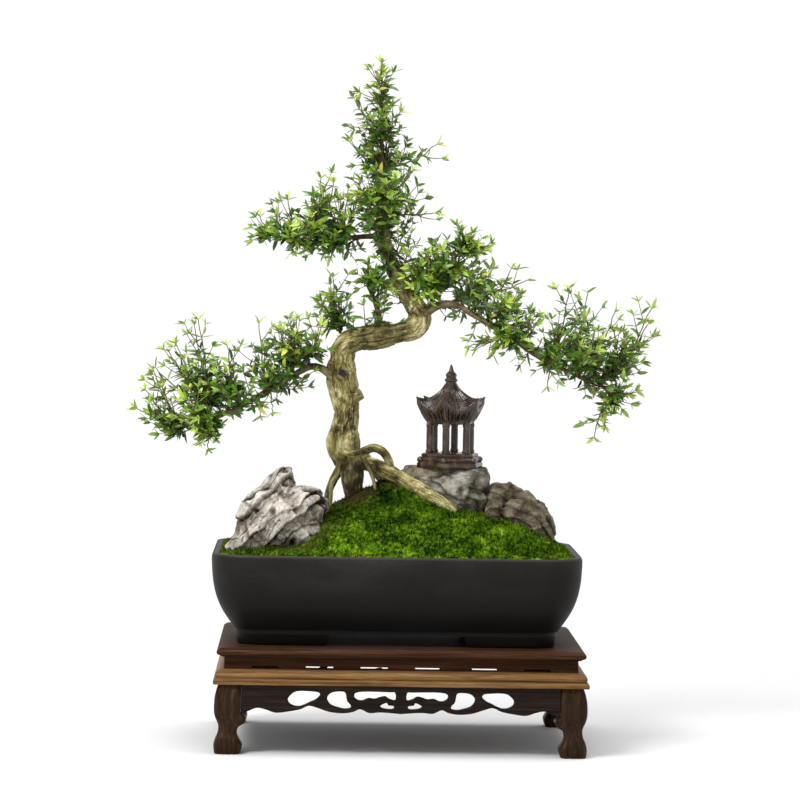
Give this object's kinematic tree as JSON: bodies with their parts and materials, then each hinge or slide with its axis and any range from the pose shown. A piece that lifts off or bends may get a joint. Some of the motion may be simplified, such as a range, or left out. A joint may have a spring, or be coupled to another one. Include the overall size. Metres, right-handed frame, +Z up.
{
  "type": "serissa bonsai",
  "caption": "Slanting serissa bonsai with leafy sprays, stones, moss and a small clay pavilion in a rounded rectangular pot on a carved wooden stand.",
  "frame": {"origin": "on the floor under the middle of the whole object's bounding box", "axes": "+Z up, +X to the right and -Y to the front as the tree is viewed"},
  "size_m": [0.5992, 0.3, 0.7776],
  "materials": {
    "bark": "matte",
    "leaf": "satin",
    "stone": "matte",
    "dark_stone": "matte",
    "pavilion_clay": "satin",
    "pot_clay": "matte",
    "mesh": "matte",
    "soil": "matte",
    "moss": "matte",
    "stand_wood": "satin",
    "moulding_wood": "satin"
  },
  "bodies": {
    "root": {"trunk_roots_branches": "bark", "leaf_spray_left_1": "leaf", "leaf_spray_left_2": "leaf", "leaf_spray_left_3": "leaf", "leaf_spray_left_4": "leaf", "leaf_spray_left_5": "leaf", "leaf_spray_left_6": "leaf", "leaf_spray_left_7": "leaf", "leaf_spray_upper_1": "leaf", "leaf_spray_upper_2": "leaf", "leaf_spray_upper_3": "leaf", "leaf_spray_upper_4": "leaf", "leaf_spray_middle_1": "leaf", "leaf_spray_middle_2": "leaf", "leaf_spray_top_1": "leaf", "leaf_spray_top_2": "leaf", "leaf_spray_top_3": "leaf", "leaf_spray_top_4": "leaf", "leaf_spray_top_5": "leaf", "leaf_spray_core_1": "leaf", "leaf_spray_core_2": "leaf", "leaf_spray_core_3": "leaf", "leaf_spray_core_4": "leaf", "leaf_spray_right_1": "leaf", "leaf_spray_right_2": "leaf", "leaf_spray_right_3": "leaf", "leaf_spray_right_4": "leaf", "leaf_spray_right_5": "leaf", "leaf_spray_right_6": "leaf", "leaf_spray_right_7": "leaf", "stone_left": "stone", "stone_front": "stone", "stone_ledge": "dark_stone", "stone_small": "dark_stone", "stone_right": "dark_stone", "stone_low": "dark_stone", "pavilion": "pavilion_clay", "pot": "pot_clay", "drain_mesh_1": "mesh", "drain_mesh_2": "mesh", "soil": "soil", "moss": "moss", "stand_board": "stand_wood", "stand_waist_front": "stand_wood", "stand_moulding_front": "moulding_wood", "stand_apron_front": "stand_wood", "stand_waist_right": "stand_wood", "stand_moulding_right": "moulding_wood", "stand_apron_right": "stand_wood", "stand_waist_back": "stand_wood", "stand_moulding_back": "moulding_wood", "stand_apron_back": "stand_wood", "stand_waist_left": "stand_wood", "stand_moulding_left": "moulding_wood", "stand_apron_left": "stand_wood", "stand_leg_back_right": "stand_wood", "stand_leg_back_left": "stand_wood", "stand_leg_front_left": "stand_wood", "stand_leg_front_right": "stand_wood"}
  },
  "joints": []
}
